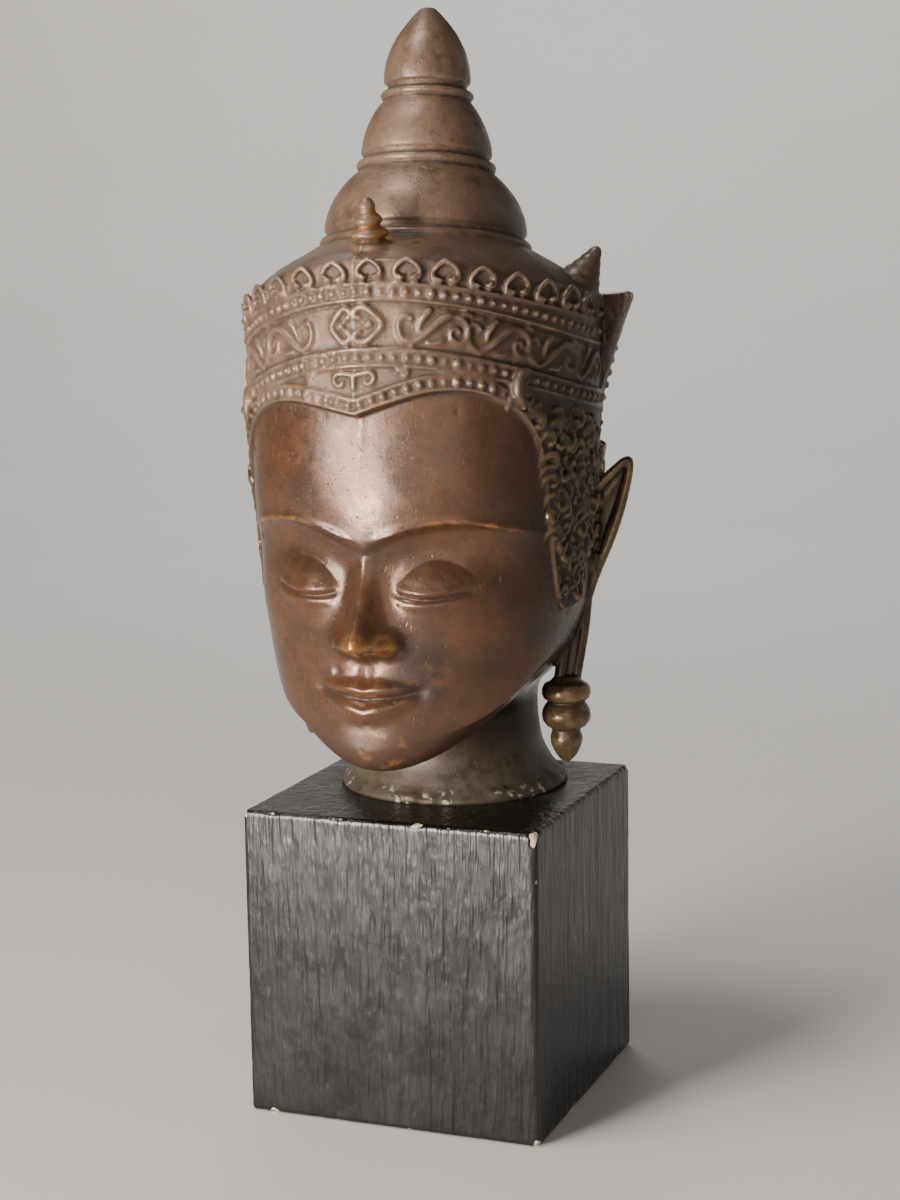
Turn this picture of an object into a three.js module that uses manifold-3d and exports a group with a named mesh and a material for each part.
// A crowned head cast in bronze, standing on a black painted wooden block.
// Millimetres, +Z up, the face towards -Y, the origin in the middle of the block's underside.
import * as THREE from "three";
import { ParametricGeometry } from "three/addons/geometries/ParametricGeometry.js";
import { mergeVertices } from "three/addons/utils/BufferGeometryUtils.js";
import Module from "manifold-3d";

// Wooden block, a near cube
const blockWidth = 80;
const blockDepth = 79;
const blockHeight = 81;
const blockEdge = 1.3;

// Bronze casting: its pose, proportions and carving are shares of its own height.
// A part is a 202nd of that height, and heights in the casting are counted up from the block's top.
const headHeight = 202;
const part = headHeight / 202;

// Face, in thirds from the hairline to the chin, five eyes wide
const chinZ = 14 * part;
const hairlineZ = 103 * part;
const third = (hairlineZ - chinZ) / 3;
const noseBaseZ = chinZ + third;
const browZ = chinZ + 2 * third;
const mouthZ = noseBaseZ - third / 3;
const eyeZ = browZ - 0.37 * third;
const eyeWidth = 17 * part;
const noseDepth = 11.8 * part;
const mouthHalfWidth = 0.76 * eyeWidth;

// Crown drum and its rows of ornament, as heights at the front
const drumY = -7 * part;
const drumRadius = 46 * part;
const drumNarrow = 1.2 * part;
const drumFlat = 4 * part;
const templeDraw = 2.4 * part;
const fillet = 1 * part;
const lowBandHeight = 4.4 * part;
const beadBandHeight = 4.2 * part;
const lowRowZ = 116.8 * part;
const highRowZ = 132.3 * part;
const petalFootZ = 134.3 * part;
const rimZ = 139.6 * part;
const rowDrop = 16 * part;
const footDrop = 13.7 * part;
const rimDrop = 12.7 * part;
const dropTurn = 1.7;
const crownRoll = 0.068;
const rollFromZ = 66 * part;
const rollToZ = 100 * part;

// Petals round the rim and the frieze of scrolls
const petalCount = 32;
const petalWidth = 7.6 * part;
const petalHeight = 6.6 * part;
const petalRelief = 1.5 * part;
const scrollPitch = 16.5 * part;
const scrollCount = 4;
const scrollRise = 3.1 * part;
const strandRadius = 1.3 * part;
const rosetteWidth = 14.5 * part;
const rosetteHeight = 9.3 * part;

// Spire of three ringed domes and a bud, leaning a little back with its rings tipped up in front
const spireY = -5.4 * part;
const spireFootZ = 142.3 * part;
const spireLean = 0.07;
const ringSlope = 0.16;
const ringRoll = 0.025;
const ringRadii = [27.1, 17.9, 11.9].map((r) => r * part);
const ringHeights = [spireFootZ, 162 * part, 179.8 * part];
const ringBead = 1.1 * part;
const domeBulge = 1.6 * part;
const budRadius = 11 * part;
const tipRadius = 1.5 * part;

// Finials on the crown's shoulder
const finialRadii = [5.7, 4.7, 3.5, 2.2].map((r) => r * part);
const finialHeight = 13 * part;
const finialFootZ = 141.6 * part;
const frontFinialY = -41.5 * part;
const sideFinialX = 41 * part;
const backFinialY = 27 * part;
const coneRadius = 6.6 * part;
const coneHeight = 11 * part;
const coneLean = 0.58;

// Flanges behind the temples, ears and ear pendants
const flangeY = 5 * part;
const flangeThickness = 4 * part;
const flangeTopX = 51.6 * part;
const flangeTopZ = 127.2 * part;
const flangeFootX = 40.4 * part;
const flangeFootZ = 86 * part;
const earX = 39.5 * part;
const earY = 2.5 * part;
const earTurn = 0.48;
const earThickness = 4.2 * part;
const earHollow = 2 * part;
const lobeWidth = 8.2 * part;
const pendantX = 35 * part;
const pendantY = -0.4 * part;
const pendantTopZ = 32 * part;
const pendantTipZ = 9.4 * part;
const brokenTipZ = 12.6 * part;

// Neck, flared into a round foot on the block
const footRadius = 30 * part;
const footY = 9 * part;
const neckRadius = 24 * part;

const wasm = await Module();
wasm.setup();

const { sin, cos, abs, min, max, PI, hypot, exp, sign } = Math;
const clamp = THREE.MathUtils.clamp;
const mix = THREE.MathUtils.lerp;
const ease = (t) => t * t * (3 - 2 * t);
const smooth = (from, to, x) => ease(clamp((x - from) / (to - from), 0, 1));
const bell = (x, width) => exp(-((x / width) ** 2));

// The closed surface of a geometry as a solid, without the triangles that fold to a line at a pole.
// A mirrored surface faces inwards, so its triangles are turned round.
function solidOf(geometry) {
  geometry.deleteAttribute("normal");
  geometry.deleteAttribute("uv");
  const merged = mergeVertices(geometry, 1e-4);
  const corners = merged.index.array;
  const kept = [];
  for (let i = 0; i < corners.length; i += 3) {
    const [a, b, c] = corners.slice(i, i + 3);
    if (a !== b && b !== c && c !== a) kept.push([a, b, c]);
  }
  const vertProperties = merged.attributes.position.array;
  const closed = (triangles) => {
    const triVerts = Uint32Array.from(triangles.flat());
    return new wasm.Manifold(new wasm.Mesh({ numProp: 3, vertProperties, triVerts }));
  };
  const solid = closed(kept);
  return solid.volume() > 0 ? solid : closed(kept.map(([a, b, c]) => [a, c, b]));
}

function geometryOf(solid) {
  const mesh = solid.getMesh();
  return new THREE.BufferGeometry()
    .setAttribute("position", new THREE.BufferAttribute(mesh.vertProperties, 3))
    .setIndex(new THREE.BufferAttribute(mesh.triVerts, 1));
}

// Moves every vertex of a geometry by a function of its place.
function reshape(geometry, move) {
  const place = geometry.attributes.position;
  const p = new THREE.Vector3();
  for (let i = 0; i < place.count; i++) {
    move(p.fromBufferAttribute(place, i));
    place.setXYZ(i, p.x, p.y, p.z);
  }
  return geometry;
}

// A value read from a short list of [station, value] pairs, joined by smooth steps.
function along(stations, x) {
  const last = stations.length - 1;
  if (x <= stations[0][0]) return stations[0][1];
  if (x >= stations[last][0]) return stations[last][1];
  const i = stations.findIndex(([at]) => at > x) - 1;
  const slope = (j) => {
    const a = stations[max(j - 1, 0)];
    const b = stations[min(j + 1, last)];
    return (b[1] - a[1]) / (b[0] - a[0]);
  };
  const [x0, y0] = stations[i];
  const [x1, y1] = stations[i + 1];
  const w = x1 - x0;
  const t = (x - x0) / w;
  return (
    y0 * (1 + 2 * t) * (1 - t) ** 2 +
    slope(i) * w * t * (1 - t) ** 2 +
    y1 * t * t * (3 - 2 * t) +
    slope(i + 1) * w * t * t * (t - 1)
  );
}

// The relief of the face: how far it stands forward of a plain oval at a place across and up.
function faceRelief(x, z) {
  const side = abs(x);
  const down = clamp((browZ - 0.12 * third - z) / (browZ - 0.12 * third - noseBaseZ), 0, 1);
  const ridge = mix(0.2, 0.34, down ** 2) * eyeWidth;
  const underNose = smooth(noseBaseZ - 0.05 * third, noseBaseZ + 0.14 * third, z);
  const nose = noseDepth * down ** 1.1 * exp(-((side / ridge) ** 2.5)) * underNose;
  const wingZ = noseBaseZ + 0.13 * third;
  const wings = 0.36 * noseDepth * bell(hypot(side - 0.4 * eyeWidth, z - wingZ), 0.2 * eyeWidth);
  const arch = browZ - 0.15 * third + 0.3 * third * sin(clamp(side / (2.35 * eyeWidth), 0, 1) * 0.82 * PI);
  const onBrow = smooth(2.5 * eyeWidth, 2 * eyeWidth, side);
  const brow = 1.2 * part * bell(z - arch, 0.08 * third) * onBrow;
  const aroundEye = bell(side - 0.95 * eyeWidth, 0.85 * eyeWidth);
  const socket = 2.6 * part * aroundEye * bell(z - (arch - 0.24 * third), 0.2 * third);
  const eye = hypot((side - eyeWidth) / (0.62 * eyeWidth), (z - eyeZ) / (0.24 * third));
  const lid = 3.4 * part * smooth(1.15, 0.15, eye);
  const slit = 0.9 * part * smooth(1, 0.6, eye) * smooth(eyeZ - 0.05 * third, eyeZ - 0.13 * third, z);
  const toCorner = min(side / mouthHalfWidth, 1.1);
  const lipLine = mouthZ + 0.07 * third * toCorner ** 2;
  const lipSpan = smooth(1.1, 0.3, toCorner);
  const fuller = 1 - 0.55 * toCorner ** 2;
  const upperLip = bell(z - lipLine - 0.085 * third * fuller, 0.075 * third * fuller);
  const lowerLip = bell(z - lipLine + 0.1 * third * fuller, 0.095 * third * fuller);
  const lips = 2.3 * part * lipSpan * (upperLip + lowerLip);
  const muzzle = 2.2 * part * bell(hypot(side, z - mouthZ), 0.7 * third);
  const chin = 3 * part * bell(hypot(side * 0.85, z - (chinZ + 0.22 * third)), 0.3 * third);
  return nose + wings + brow - socket + lid - slit + lips + muzzle + chin;
}

// Levels of the neck and head, each a ring round the casting: [front z, front y, side z, half width,
// back z, back y, centre y].
const levels = [
  [0, footY - footRadius, 0, footRadius, 0, footY + footRadius, footY],
  [1.4 * part, footY - footRadius, 1.4 * part, footRadius, 1.4 * part, footY + footRadius, footY],
  [
    5 * part, footY - 0.9 * footRadius, 5 * part, 0.9 * footRadius,
    5 * part, footY + 0.88 * footRadius, footY,
  ],
  [
    12 * part, footY - 1.04 * neckRadius, 12 * part, neckRadius,
    13 * part, footY + 0.94 * neckRadius, 8 * part,
  ],
  [24 * part, -19 * part, 22 * part, neckRadius, 27 * part, 28 * part, 5 * part],
  [18 * part, -34 * part, 29 * part, 26.5 * part, 36 * part, 27 * part, 0],
  [chinZ, -41 * part, 34 * part, 31.6 * part, 44 * part, 28.5 * part, -4 * part],
  [16 * part, -44.6 * part, 37 * part, 34 * part, 47 * part, 30 * part, -5 * part],
  [20 * part, -46.4 * part, 40 * part, 36.2 * part, 50 * part, 31.5 * part, -5.5 * part],
  [mouthZ - 0.3 * third, -46.8 * part, 44 * part, 38.2 * part, 54 * part, 33 * part, -5.5 * part],
  [mouthZ + 0.35 * third, -48 * part, 52 * part, 40.6 * part, 62 * part, 34.6 * part, -5.5 * part],
  [noseBaseZ + 0.3 * third, -48.6 * part, 61 * part, 41.8 * part, 70 * part, 35.8 * part, -5.5 * part],
  [browZ - 0.3 * third, -48.6 * part, 70 * part, 42.3 * part, 78 * part, 36.6 * part, -5.5 * part],
  [browZ, -50 * part, 77 * part, 42.6 * part, 84 * part, 36.8 * part, -5.5 * part],
  [88 * part, -51 * part, 89 * part, 43.2 * part, 94 * part, 36.6 * part, -5.5 * part],
  [hairlineZ + 8 * part, -50.2 * part, 110 * part, 43.2 * part, 108 * part, 36 * part, -5.5 * part],
];
const levelFields = levels[0].map((_, field) => levels.map((level, i) => [i, level[field]]));

// A point of the head's surface at an angle from the front and a level.
function headPoint(angle, level, target) {
  const [frontZ, frontY, sideZ, halfWidth, backZ, backY, centreY] = levelFields.map((f) => along(f, level));
  const forward = cos(angle);
  const reach = forward > 0 ? centreY - frontY : backY - centreY;
  const endZ = forward > 0 ? frontZ : backZ;
  const fullness = 0.05 * smooth(5, 8, level) * sin(2 * angle) ** 2;
  const x = halfWidth * (1 + fullness) * sin(angle);
  const levelled = smooth(7, 11, level) * (forward > 0 ? 1 : 0);
  const z = sideZ + (endZ - sideZ) * mix(forward ** 2, 1 - smooth(0.6, 1.5, abs(angle)), levelled);
  const y = centreY - reach * (1 + fullness) * forward;
  const carved = forward > 0 && level > 5.5 ? smooth(0.2, 0.5, forward) * smooth(5.5, 7, level) : 0;
  return target.set(x, y - (carved ? carved * faceRelief(x, z) : 0), z);
}

// Columns of the head's grid are close together over the face, and its rows over lips, nose and eyes.
const halfColumns = [0, 2.6, 5.4, 8.6, 12.4, 17, 22, 27.5, 33, 39, 47, 58, 73, 90, 110, 133, 156, 180];
const faceRows = [
  0.22, 0.36, 0.48, 0.56, 0.63, 0.68, 0.73, 0.79, 0.87, 0.97, 1.02, 1.08, 1.17,
  1.3, 1.42, 1.5, 1.55, 1.6, 1.68, 1.78, 1.87, 1.97, 2.07, 2.2, 2.5, 2.8,
];
const jawLevels = [0, 1, 2, 3, 4, 5, 6, 7];
const topLevel = levels.length - 1;

// The level that meets the front of the face at a height above the chin, told in thirds of the face.
function levelAt(thirds) {
  let below = 7;
  let above = topLevel;
  for (let halving = 0; halving < 30; halving++) {
    const middle = (below + above) / 2;
    if (along(levelFields[0], middle) < chinZ + thirds * third) below = middle;
    else above = middle;
  }
  return above;
}
const rowLevels = [...jawLevels, ...faceRows.map(levelAt), topLevel];

function headSolid() {
  const around = 2 * (halfColumns.length - 1);
  const up = rowLevels.length + 1;
  const top = headPoint(0, topLevel, new THREE.Vector3()).z;
  const surface = (u, v, target) => {
    const column = Math.round(u * around) - around / 2;
    const row = Math.round(v * up) - 1;
    const angle = THREE.MathUtils.degToRad(sign(column) * halfColumns[abs(column)]);
    if (row < 0) return target.set(0, footY, 0);
    if (row >= rowLevels.length) return target.set(0, drumY, top);
    return headPoint(angle, rowLevels[row], target);
  };
  return solidOf(new ParametricGeometry(surface, around, up));
}

// How far a row of the crown has come down from its height at the front, at an angle from it.
const fallen = (angle) => 0.5 * (1 - cos(min(abs(angle) * dropTurn, PI)));

// The crown leans to one side: everything on it rises with x.
const rolled = (x, z) => z + crownRoll * x * smooth(rollFromZ, rollToZ, z);

// The crown's lower edge: a point over the nose, an arch over each brow, and a tongue before the ear.
const edgeStations = [
  [0, 103], [12, 105.6], [22, 107.2], [32, 107], [40, 105.4], [47, 102.4], [54, 98], [60, 90],
  [65, 74], [70, 56], [76, 52], [86, 56], [94, 70], [101, 86], [110, 92], [180, 92],
].map(([degrees, z]) => [THREE.MathUtils.degToRad(degrees), z * part]);
const edgeZ = (angle) => along(edgeStations, abs(angle));

// The crown's rows from its lower edge to its rim: [height, standing out from the ground of the drum].
function crownRows(angle) {
  const edge = edgeZ(angle);
  const low = lowRowZ - rowDrop * fallen(angle);
  const high = highRowZ - rowDrop * fallen(angle);
  const foot = petalFootZ - footDrop * fallen(angle);
  const rim = rimZ - rimDrop * fallen(angle);
  const half = beadBandHeight / 2;
  const lowBand = 1 - smooth(0.8, 0.95, abs(angle)) * (1 - smooth(1.8, 1.95, abs(angle)));
  const raised = fillet * lowBand;
  const bandTop = edge + lowBandHeight;
  return [
    [edge, 0.3 * raised],
    [edge + 0.6 * part, raised],
    [bandTop - 0.6 * part, raised],
    [bandTop, 0],
    [max(low - half - 0.4 * part, bandTop + 0.2 * part), 0],
    [low - half, fillet],
    [low + half, fillet],
    [low + half + 0.4 * part, -0.2 * fillet],
    [high - half - 0.4 * part, -0.2 * fillet],
    [high - half, fillet],
    [foot, 0.8 * fillet],
    [foot + 0.5 * part, 0],
    [rim, -0.4 * fillet],
  ];
}

// The drum's reach at an angle and a height. It is a little narrower than it is deep in front, flatter
// behind, and draws in below the crown's lower edge, over the temples.
function drumReach(angle, z) {
  const behind = max(-cos(angle), 0);
  const temple = smooth(102 * part, 56 * part, z);
  return drumRadius - drumNarrow * sin(angle) ** 2 - drumFlat * behind ** 2 - templeDraw * temple;
}

const ringZ = (x, y, z) => z - ringSlope * (y - spireY) + ringRoll * x;

function crownSolid() {
  const columns = [
    0, 8, 16, 24, 32, 40, 48, 54, 59, 64, 68, 74, 82, 90, 97, 105, 120, 135, 150, 165, 180,
  ];
  const around = 2 * (columns.length - 1);
  const bandRows = crownRows(0).length;
  const shoulder = [[0.1, 0.16], [0.34, 0.44], [0.66, 0.72], [1, 1]];
  const up = bandRows + shoulder.length + 1;
  const surface = (u, v, target) => {
    const column = Math.round(u * around) - around / 2;
    const angle = THREE.MathUtils.degToRad(sign(column) * columns[abs(column)]);
    const row = Math.round(v * up) - 1;
    if (row < 0) return target.set(0, drumY, 96 * part);
    if (row > bandRows + shoulder.length - 1) return target.set(0, spireY, spireFootZ);
    const [z, out] = crownRows(angle)[min(row, bandRows - 1)];
    const r = drumReach(angle, z) + out;
    const x = r * sin(angle);
    target.set(x, drumY - r * cos(angle), rolled(x, z));
    if (row < bandRows) return target;
    const [inward, upward] = shoulder[row - bandRows];
    const ringX = ringRadii[0] * sin(angle);
    const ringY = spireY - ringRadii[0] * cos(angle);
    return target.set(
      mix(target.x, ringX, inward),
      mix(target.y, ringY, inward),
      mix(target.z, ringZ(ringX, ringY, spireFootZ - ringBead), upward),
    );
  };
  return solidOf(new ParametricGeometry(surface, around, up));
}

// Three domes, each on its ring, and a blunt bud.
function spireSolid() {
  const rootZ = spireFootZ - 8 * part;
  const profile = [new THREE.Vector2(0, rootZ), new THREE.Vector2(ringRadii[0] - ringBead, rootZ)];
  const tops = [...ringHeights.slice(1), headHeight];
  ringRadii.forEach((radius, i) => {
    const z = ringHeights[i];
    profile.push(new THREE.Vector2(radius - 1.2 * ringBead, z - ringBead));
    profile.push(new THREE.Vector2(radius, z - 0.5 * ringBead));
    profile.push(new THREE.Vector2(radius, z + 0.5 * ringBead));
    profile.push(new THREE.Vector2(radius - 1.9 * ringBead, z + 1.3 * ringBead));
    const from = z + 1.3 * ringBead;
    const to = tops[i];
    if (i < 2) {
      const next = ringRadii[i + 1] - 1.3 * ringBead;
      for (const t of [0.25, 0.52, 0.76, 0.94]) {
        const r = mix(next, radius - 1.9 * ringBead + domeBulge * 0.5, (1 - t ** 2) ** 0.88);
        profile.push(new THREE.Vector2(r, mix(from, to - ringBead, t)));
      }
    } else {
      for (const t of [0.14, 0.32, 0.52, 0.7, 0.85, 0.95]) {
        const r = mix(tipRadius, budRadius, 1 - t ** 2.3);
        profile.push(new THREE.Vector2(r, mix(from, to, t)));
      }
      profile.push(new THREE.Vector2(0.8 * tipRadius, mix(from, to, 0.99)));
    }
  });
  profile.push(new THREE.Vector2(0, headHeight));
  const spire = new THREE.LatheGeometry(profile, 26).rotateX(PI / 2);
  return solidOf(
    reshape(spire, (p) => {
      const height = p.z - spireFootZ;
      const shift = spireY + spireLean * height;
      const share = 1 - smooth(0.85 * headHeight, headHeight, p.z);
      p.z += share * (ringRoll * p.x - ringSlope * p.y);
      p.y += shift;
    }),
  );
}

// Bends a flat ornament round the drum: x runs round it, y up it and z out of it.
function wrapped(geometry, angle, baseZ, sink) {
  return solidOf(
    reshape(geometry, (p) => {
      const at = angle + p.x / drumRadius;
      const z = baseZ(at) + p.y;
      const r = drumReach(at, z) + p.z - sink;
      p.set(r * sin(at), drumY - r * cos(at), z);
      p.z = rolled(p.x, p.z);
    }),
  );
}

const raisedShape = (shape, height, curveSegments = 3) =>
  new THREE.ExtrudeGeometry(shape, { depth: height, bevelEnabled: false, steps: 1, curveSegments });

// A spade-shaped petal, its point up and its feet curled out.
function petalShape() {
  const w = petalWidth / 2;
  const h = petalHeight;
  const shape = new THREE.Shape();
  shape.moveTo(0.75 * w, 0);
  shape.lineTo(w, 0.5 * h);
  shape.lineTo(0, h);
  shape.lineTo(-w, 0.5 * h);
  shape.lineTo(-0.75 * w, 0);
  return shape;
}

function petals() {
  const foot = (at) => petalFootZ - footDrop * fallen(at) + 0.2 * part;
  return Array.from({ length: petalCount }, (_, i) => {
    const angle = ((i + 0.5) / petalCount) * 2 * PI - PI;
    return wrapped(raisedShape(petalShape(), petalRelief + fillet, 1), angle, foot, fillet);
  });
}

const friezeZ = (at) => (lowRowZ + highRowZ) / 2 - rowDrop * fallen(at);

// A strand of the scroll work: a round band laid along a curve of a few points.
function strand(points, radius = strandRadius) {
  const path = new THREE.CatmullRomCurve3(points.map(([x, y]) => new THREE.Vector3(x, y, 0)));
  const section = new THREE.Shape(
    [PI / 3, PI, -PI / 3].map((at) => new THREE.Vector2(cos(at), sin(at)).multiplyScalar(radius)),
  );
  const options = { steps: points.length + 1, bevelEnabled: false, extrudePath: path };
  return new THREE.ExtrudeGeometry(section, options);
}

// One wave of the vine, which ends in a curl on itself.
function scroll(mirror) {
  const s = scrollPitch;
  const h = scrollRise;
  const wave = [
    [-0.5, -1], [-0.3, 0.2], [-0.02, 1], [0.27, 0.8],
    [0.42, -0.1], [0.27, -0.85], [0.08, -0.45], [0.16, 0.2],
  ];
  return strand(wave.map(([x, y]) => [x * s * mirror, y * h]));
}

function frieze() {
  const pieces = [];
  const first = (rosetteWidth / 2 + scrollPitch * 0.56) / drumRadius;
  for (const side of [-1, 1]) {
    for (let i = 0; i < scrollCount; i++) {
      const angle = side * (first + (i * scrollPitch) / drumRadius);
      pieces.push(wrapped(scroll(side), angle, friezeZ, 0));
    }
  }
  return pieces;
}

// Two hearts back to back on the crown's front.
function rosette() {
  const w = rosetteWidth / 2;
  const h = rosetteHeight / 2;
  const heart = [
    [0.04, -0.25], [0.2, -0.95], [0.62, -0.75], [1, 0],
    [0.62, 0.75], [0.2, 0.95], [0.04, 0.25], [0.42, 0],
  ];
  return [-1, 1].map((side) => {
    const outline = heart.map(([x, y]) => [side * x * w, y * h]);
    return wrapped(strand(outline), 0, friezeZ, 0);
  });
}

// Leaves down the temple, largest at the top, where one curls out over the crown's edge: [degrees from
// the front, height, half length, turn] of each.
function templeLeaves() {
  const places = [
    [56, 100, 5, 0.5], [68, 95, 4.4, -0.5], [80, 91, 4.6, 0.4],
    [68, 83, 3.8, 0.3], [78, 78, 4.2, -0.4], [74, 67, 3.6, 0.2],
  ];
  const sunk = 3 * fillet;
  const pieces = [];
  for (const side of [-1, 1]) {
    for (const [degrees, z, size, turn] of places) {
      const leaf = new THREE.Shape();
      leaf.moveTo(0, -size * part);
      leaf.quadraticCurveTo(1.1 * size * part, 0, 0, size * part);
      leaf.quadraticCurveTo(-0.9 * size * part, 0, 0, -size * part);
      const relief = raisedShape(leaf, 1.2 * fillet + sunk, 2).rotateZ(side * turn);
      pieces.push(wrapped(relief, side * THREE.MathUtils.degToRad(degrees), () => z * part, sunk));
    }
  }
  return pieces;
}

// The tiered finial over the forehead, with a knob at its tip.
function frontFinial() {
  const profile = [new THREE.Vector2(0, -4 * part), new THREE.Vector2(finialRadii[0], -4 * part)];
  const tier = finialHeight / finialRadii.length;
  finialRadii.forEach((radius, i) => {
    const z = i * tier;
    profile.push(new THREE.Vector2(radius, z + 0.45 * tier));
    profile.push(new THREE.Vector2(0.8 * radius, z + 0.85 * tier));
    profile.push(new THREE.Vector2(0.66 * radius, z + tier));
    if (i < finialRadii.length - 1) profile.push(new THREE.Vector2(finialRadii[i + 1], z + 1.12 * tier));
  });
  profile.push(new THREE.Vector2(0, finialHeight + 0.3 * part));
  return solidOf(
    new THREE.LatheGeometry(profile, 9)
      .rotateX(PI / 2)
      .rotateX(ringSlope)
      .translate(0, frontFinialY, finialFootZ),
  );
}

// A ridged cone on the shoulder, leaning outwards. A worn one is shorter and rounded over.
function cone(x, y, z, height) {
  const profile = [new THREE.Vector2(0, -5 * part), new THREE.Vector2(coneRadius, -5 * part)];
  const ridges = 4;
  for (let i = 0; i < ridges; i++) {
    const r = (t) => coneRadius * (1 - 0.86 * t ** 0.9) * (height < coneHeight ? 1.05 : 1);
    profile.push(new THREE.Vector2(r(i / ridges), (i / ridges) * height));
    profile.push(new THREE.Vector2(0.9 * r((i + 0.85) / ridges), ((i + 0.85) / ridges) * height));
  }
  profile.push(new THREE.Vector2(0, height));
  const outwards = new THREE.Vector3(x, y - drumY, 0).normalize();
  const up = outwards.clone().multiplyScalar(coneLean).add(new THREE.Vector3(0, 0, 1)).normalize();
  const turn = new THREE.Quaternion().setFromUnitVectors(new THREE.Vector3(0, 0, 1), up);
  return solidOf(
    new THREE.LatheGeometry(profile, 8)
      .rotateX(PI / 2)
      .applyQuaternion(turn)
      .translate(x, y, rolled(x, z)),
  );
}

// An upright plate behind each temple, widening to a flat top.
function flange(side) {
  const shape = new THREE.Shape();
  const inner = drumRadius - 8 * part;
  shape.moveTo(inner, flangeFootZ);
  shape.lineTo(flangeFootX, flangeFootZ);
  shape.quadraticCurveTo(
    mix(flangeFootX, flangeTopX, 0.3),
    mix(flangeFootZ, flangeTopZ, 0.45),
    mix(flangeFootX, flangeTopX, 0.62),
    mix(flangeFootZ, flangeTopZ, 0.68),
  );
  shape.quadraticCurveTo(
    mix(flangeFootX, flangeTopX, 0.92),
    mix(flangeFootZ, flangeTopZ, 0.85),
    flangeTopX,
    flangeTopZ - 1.5 * part,
  );
  shape.lineTo(flangeTopX - 1.2 * part, flangeTopZ);
  shape.lineTo(inner, flangeTopZ);
  const plate = raisedShape(shape, flangeThickness, 4).rotateX(PI / 2);
  const stand = (p) => p.set(side * p.x, p.y + flangeY + flangeThickness / 2, rolled(side * p.x, p.z));
  return solidOf(reshape(plate, stand));
}

// The ear's leaf outline, with the long lobe below it.
function earShape(inset) {
  const shape = new THREE.Shape();
  const i = inset;
  shape.moveTo(-4 * part + i, 76 * part);
  shape.quadraticCurveTo(1 * part + i, 84 * part - i, 7 * part, 86.8 * part - i);
  shape.quadraticCurveTo(10.6 * part - i, 88 * part - i, 11.9 * part - i, 85.6 * part - i);
  shape.quadraticCurveTo(10.4 * part - i, 76 * part, 6.6 * part - i, 67.5 * part);
  shape.lineTo(1.6 * part - i, 56.5 * part + 2 * i);
  if (inset) {
    shape.quadraticCurveTo(-1 * part, 54 * part + i, -3 * part, 58 * part + i);
    return shape;
  }
  shape.lineTo(-0.2 * part, 50 * part);
  shape.lineTo(-6.5 * part, 50 * part);
  return shape;
}

function ear(side) {
  const place = (geometry, forward) => {
    const turned = geometry
      .rotateX(PI / 2)
      .translate(0, earThickness / 2 - forward, 0)
      .rotateZ(earTurn)
      .translate(earX, earY, 0);
    return solidOf(reshape(turned, (p) => p.set(side * p.x, p.y, p.z)));
  };
  const leaf = place(raisedShape(earShape(0), earThickness, 3), 0);
  const hollow = place(raisedShape(earShape(1.9 * part), earThickness, 3), earThickness - earHollow);
  return leaf.subtract(hollow);
}

// The long lobe, a bar that hangs clear of the jaw and carries the pendant.
function lobe(side) {
  const from = new THREE.Vector3(side * (earX - 0.6 * part), earY - 0.6 * part, 60 * part);
  const to = new THREE.Vector3(side * pendantX, pendantY, pendantTopZ - 2.5 * part);
  const middle = from.clone().lerp(to, 0.5).add(new THREE.Vector3(side * 0.6 * part, 0, 0));
  const path = new THREE.CatmullRomCurve3([from, middle, to]);
  const section = new THREE.Shape();
  section.absellipse(0, 0, 0.4 * lobeWidth, 0.5 * lobeWidth, 0, 2 * PI);
  const options = { steps: 4, curveSegments: 4, bevelEnabled: false, extrudePath: path };
  return solidOf(new THREE.ExtrudeGeometry(section, options));
}

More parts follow.
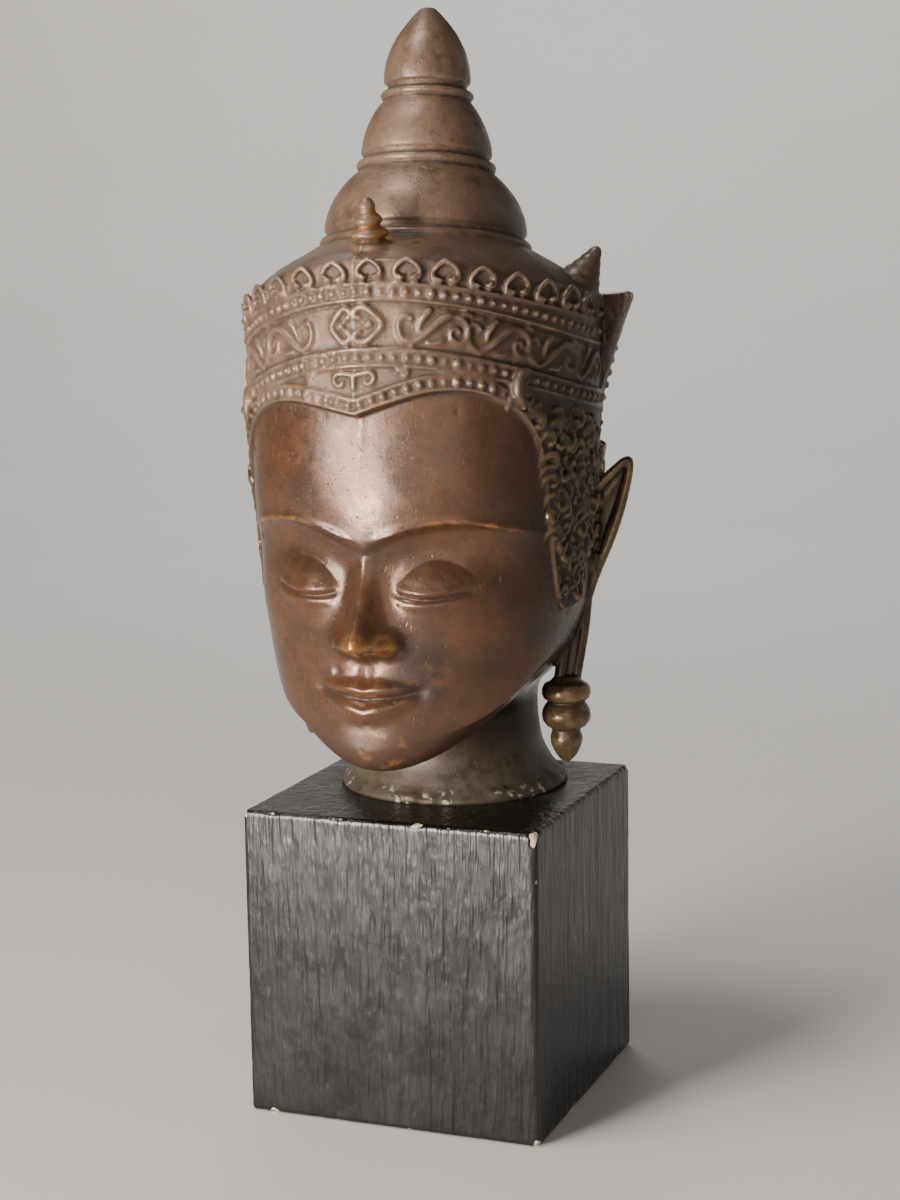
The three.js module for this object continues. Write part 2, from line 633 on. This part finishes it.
// A pendant of a ring, a bulb and a drop.
function pendant(side, tipZ) {
  const outline = [
    [3.6, 32], [4.2, 30.6], [6.3, 29], [6.3, 26.8], [4.9, 25.6],
    [6.2, 23.4], [6.25, 20.8], [3.6, 18.2], [4.1, 16.4], [3.7, 13.6],
  ];
  const profile = outline
    .map(([r, z]) => new THREE.Vector2(r * part, z * part))
    .filter((p) => p.y > tipZ);
  const end = tipZ > pendantTipZ ? 3.2 * part : 1.5 * part;
  profile.push(new THREE.Vector2(end, tipZ + 0.5 * part));
  profile.push(new THREE.Vector2(0.6 * end, tipZ));
  profile.push(new THREE.Vector2(0, tipZ));
  profile.unshift(new THREE.Vector2(0, pendantTopZ));
  const turned = new THREE.LatheGeometry(profile.reverse(), 10).rotateX(PI / 2);
  return solidOf(turned.translate(side * pendantX, pendantY, 0));
}

const side = { left: -1, right: 1 };
const shoulderZ = rimZ - rimDrop + 2.6 * part;
const casting = [
  headSolid(),
  crownSolid(),
  spireSolid(),
  ...petals(),
  ...frieze(),
  ...rosette(),
  ...templeLeaves(),
  frontFinial(),
  cone(sideFinialX, drumY, shoulderZ, coneHeight),
  cone(-sideFinialX, drumY, shoulderZ, 0.72 * coneHeight),
  cone(0, backFinialY, shoulderZ + 1.2 * part, coneHeight),
  flange(side.left),
  flange(side.right),
  ear(side.left),
  ear(side.right),
  lobe(side.left),
  lobe(side.right),
  pendant(side.right, pendantTipZ),
  pendant(side.left, brokenTipZ),
].reduce((whole, piece) => whole.add(piece));

// The block, with the edges of its top and underside worn round.
function blockGeometry() {
  const plan = new THREE.Shape();
  const x = blockWidth / 2 - blockEdge;
  const y = blockDepth / 2 - blockEdge;
  plan.moveTo(-x, -y);
  plan.lineTo(x, -y);
  plan.lineTo(x, y);
  plan.lineTo(-x, y);
  plan.closePath();
  return new THREE.ExtrudeGeometry(plan, {
    depth: blockHeight - 2 * blockEdge,
    bevelEnabled: true,
    bevelThickness: blockEdge,
    bevelSize: blockEdge,
    bevelSegments: 3,
    steps: 1,
  }).translate(0, 0, blockEdge);
}

const bronze = new THREE.MeshStandardMaterial({ color: "#4a3528", roughness: 0.48, metalness: 0.9 });
const blackPaint = new THREE.MeshStandardMaterial({ color: "#14120f", roughness: 0.38, metalness: 0 });

const head = new THREE.Mesh(geometryOf(casting), bronze);
head.name = "bronze_head";
head.position.set(0, 0, blockHeight);

const block = new THREE.Mesh(blockGeometry(), blackPaint);
block.name = "wood_block";

const bust = new THREE.Group();
bust.name = "crowned_head_on_block";
bust.add(block, head);

export default bust;
